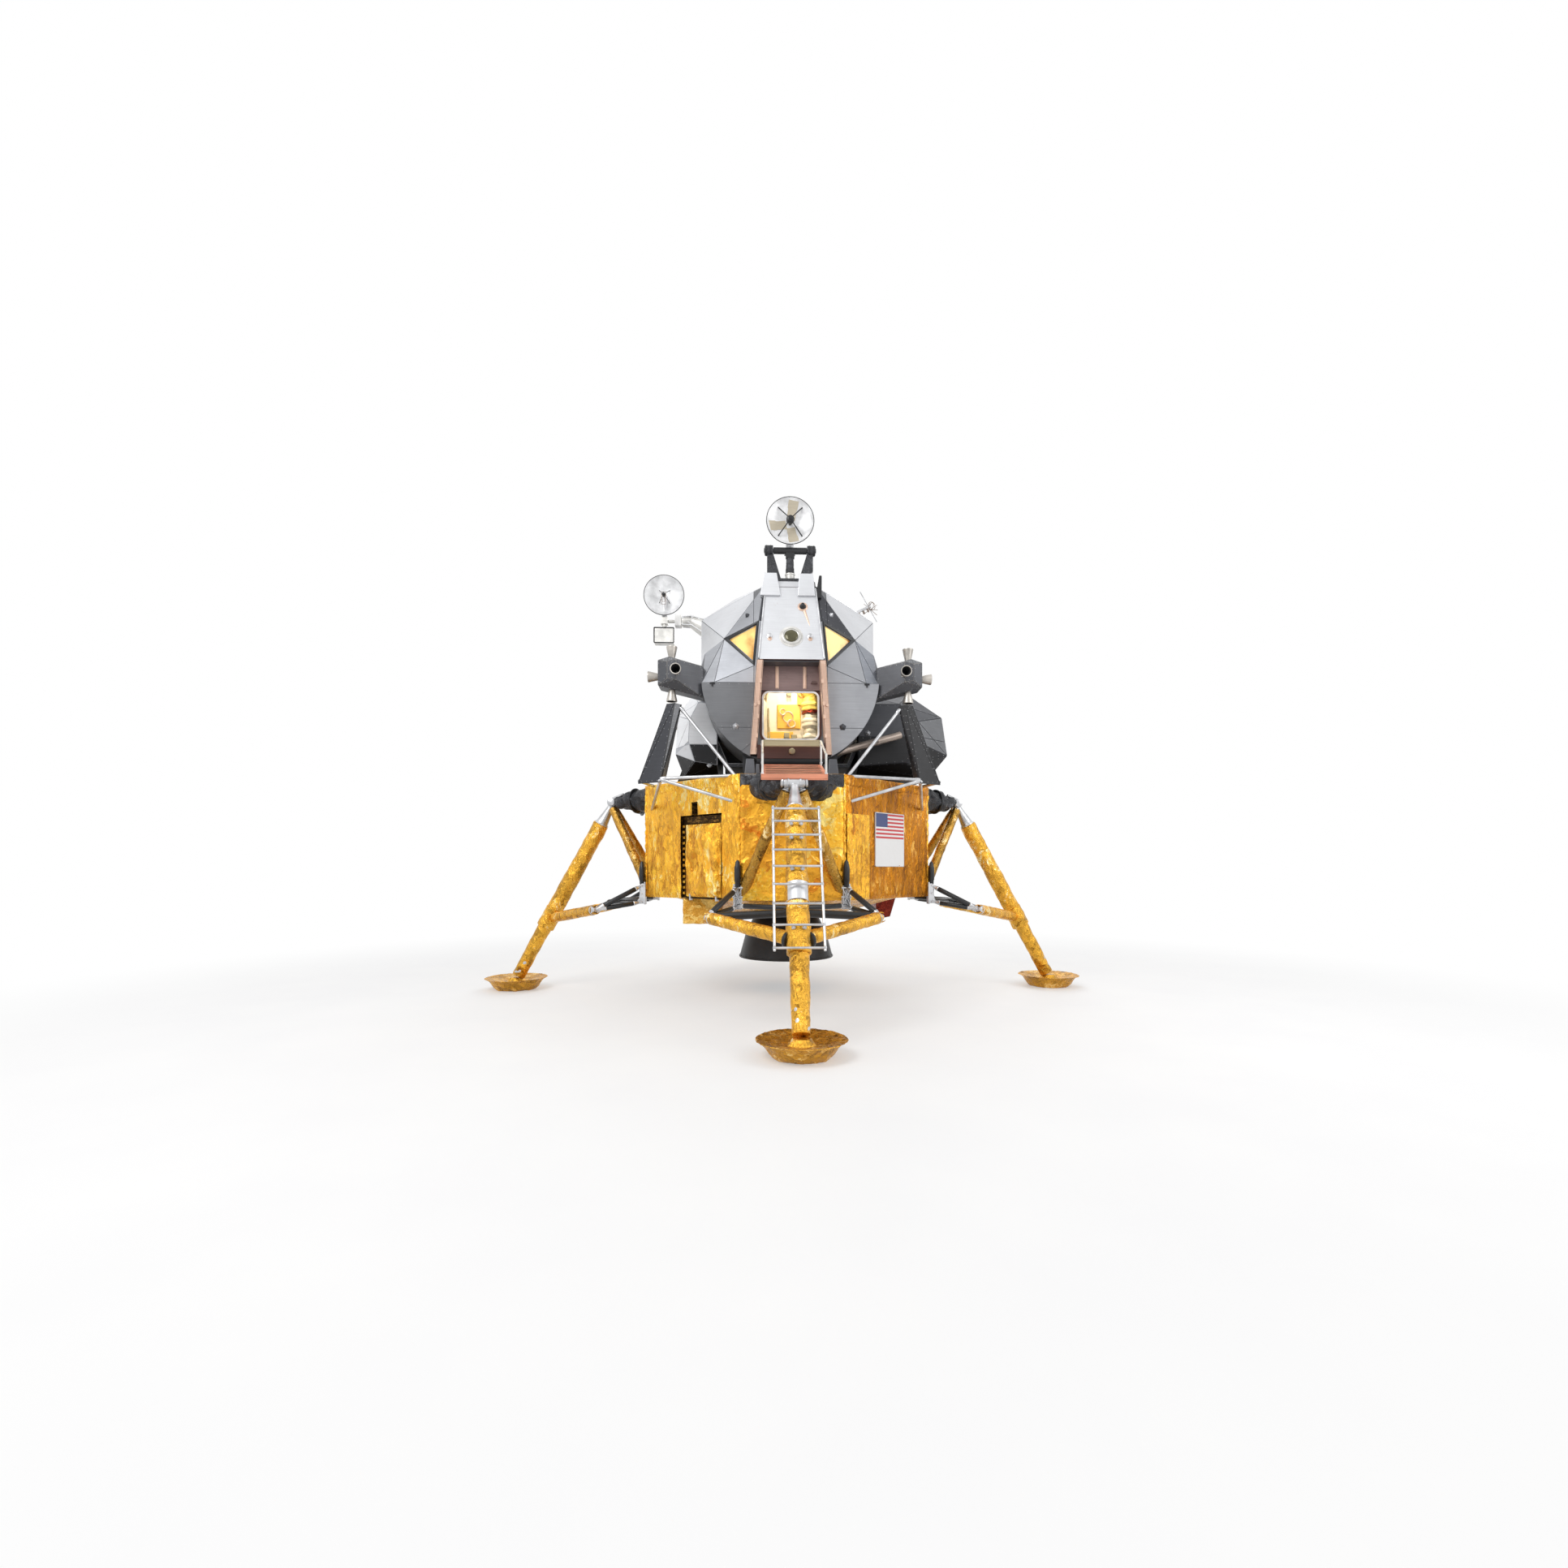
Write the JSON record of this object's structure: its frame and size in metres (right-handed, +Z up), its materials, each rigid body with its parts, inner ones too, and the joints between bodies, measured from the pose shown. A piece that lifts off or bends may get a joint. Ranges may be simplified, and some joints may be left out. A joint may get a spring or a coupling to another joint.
{
  "type": "lunar lander",
  "caption": "Two-stage crewed lunar lander on footpads, with a ladder, porch, hatches, gimballed engine, folding equipment pallet and steerable antennas.",
  "frame": {"origin": "on the ground under the middle of the stages, level with the undersides of the footpads", "axes": "+Z up; the hatch, porch and ladder face -Y; the steerable dish is on the -X side and the larger tank fairing on the +X side"},
  "size_m": [9.449, 9.449, 7.003],
  "materials": {
    "gold_foil": "crinkled gold polyimide foil",
    "pad_foil": "deep gold foil",
    "descent_skin": "foil blankets with painted panels",
    "dark_panel": "thin black micrometeoroid shields",
    "light_panel": "anodised shields",
    "dark_wrap": "dark wrapped insulation",
    "black_tube": "satin black paint",
    "bare_alloy": "brushed alloy",
    "white_tube": "white paint",
    "white_dish": "white paint",
    "hatch_paint": "grey-green paint",
    "nozzle_coating": "dark heat-stained alloy",
    "dark_red_panel": "dark red insulation",
    "porch_deck": "red-brown ribbed plate",
    "sign_plate": "painted plate, left plain",
    "window_glass": "tinted pane"
  },
  "bodies": {
    "lander": {"front_footpad": "pad_foil", "front_main_strut": "gold_foil", "front_side_struts": "gold_foil", "front_folding_truss": "black_tube", "front_outriggers": "dark_wrap", "right_footpad": "pad_foil", "right_main_strut": "gold_foil", "right_side_struts": "gold_foil", "right_folding_truss": "black_tube", "right_outriggers": "dark_wrap", "back_footpad": "pad_foil", "back_main_strut": "gold_foil", "back_side_struts": "gold_foil", "back_folding_truss": "black_tube", "back_outriggers": "dark_wrap", "left_footpad": "pad_foil", "left_main_strut": "gold_foil", "left_side_struts": "gold_foil", "left_folding_truss": "black_tube", "left_outriggers": "dark_wrap", "descent_structure": "descent_skin", "base_heat_shield": "gold_foil", "landing_radar": "dark_red_panel", "gimbal_bearings": "bare_alloy", "ladder": "bare_alloy", "crew_cabin": "dark_panel", "windows": "window_glass", "porch_deck": "porch_deck", "porch_rails": "white_tube", "face_panel": "dark_panel", "hatch_hinges": "bare_alloy", "middle_section": "dark_panel", "docking_tunnel": "bare_alloy", "pallet_hinge": "bare_alloy", "right_tank_fairing": "dark_panel", "left_tank_fairing": "light_panel", "aft_equipment_bay": "dark_panel", "ascent_engine": "nozzle_coating", "stage_posts": "black_tube", "front_left_thrusters": "light_panel", "front_right_thrusters": "light_panel", "back_left_thrusters": "light_panel", "back_right_thrusters": "light_panel", "front_deflectors": "black_tube", "back_deflectors": "black_tube", "radar_stand": "bare_alloy", "antenna_boom": "gold_foil", "whip_antennas": "bare_alloy", "sign_plate": "sign_plate"},
    "forward_hatch": {"front_hatch": "hatch_paint"},
    "roof_hatch": {"overhead_hatch": "hatch_paint"},
    "pallet": {"equipment_pallet": "gold_foil"},
    "gimbal": {"gimbal_ring": "bare_alloy"},
    "engine": {"descent_engine_chamber": "bare_alloy", "descent_nozzle": "nozzle_coating"},
    "radar_bar": {"radar_tilt_bar": "bare_alloy"},
    "radar_head": {"radar_dish": "white_dish"},
    "antenna_swivel": {"antenna_yoke": "white_dish"},
    "antenna_head": {"antenna_dish": "white_dish"}
  },
  "joints": [
    {"name": "front_hatch_hinge", "type": "hinge", "parent": "lander", "child": "forward_hatch", "pos_m": [-0.455, -1.636, 3.96], "axis": [0, 0, 1], "range_deg": [-82, 5]},
    {"name": "overhead_hatch_hinge", "type": "hinge", "parent": "lander", "child": "roof_hatch", "pos_m": [0, 0.49, 5.838], "axis": [1, 0, 0], "range_deg": [0, 80]},
    {"name": "equipment_pallet_hinge", "type": "hinge", "parent": "lander", "child": "pallet", "pos_m": [-1.19052, -1.64024, 1.53], "axis": [0.7071, -0.7071, 0], "range_deg": [0, 110]},
    {"name": "engine_gimbal_pitch", "type": "hinge", "parent": "lander", "child": "gimbal", "pos_m": [0, 0, 1.9], "axis": [1, 0, 0], "range_deg": [-6, 6]},
    {"name": "engine_gimbal_roll", "type": "hinge", "parent": "gimbal", "child": "engine", "pos_m": [0, 0, 1.9], "axis": [0, 1, 0], "range_deg": [-6, 6]},
    {"name": "radar_tilt", "type": "hinge", "parent": "lander", "child": "radar_bar", "pos_m": [0, -1.5, 6.3], "axis": [1, 0, 0], "range_deg": [-70, 90]},
    {"name": "radar_swing", "type": "hinge", "parent": "radar_bar", "child": "radar_head", "pos_m": [0, -1.43, 6.4], "axis": [0, 0, 1], "range_deg": [-55, 55]},
    {"name": "antenna_tilt", "type": "hinge", "parent": "lander", "child": "antenna_swivel", "pos_m": [-1.885, -0.35, 5.7], "axis": [1, 0, 0], "range_deg": [-75, 180]},
    {"name": "antenna_swing", "type": "hinge", "parent": "antenna_swivel", "child": "antenna_head", "pos_m": [-1.885, -0.35, 5.9], "axis": [0, 0, 1], "range_deg": [-75, 75]}
  ]
}
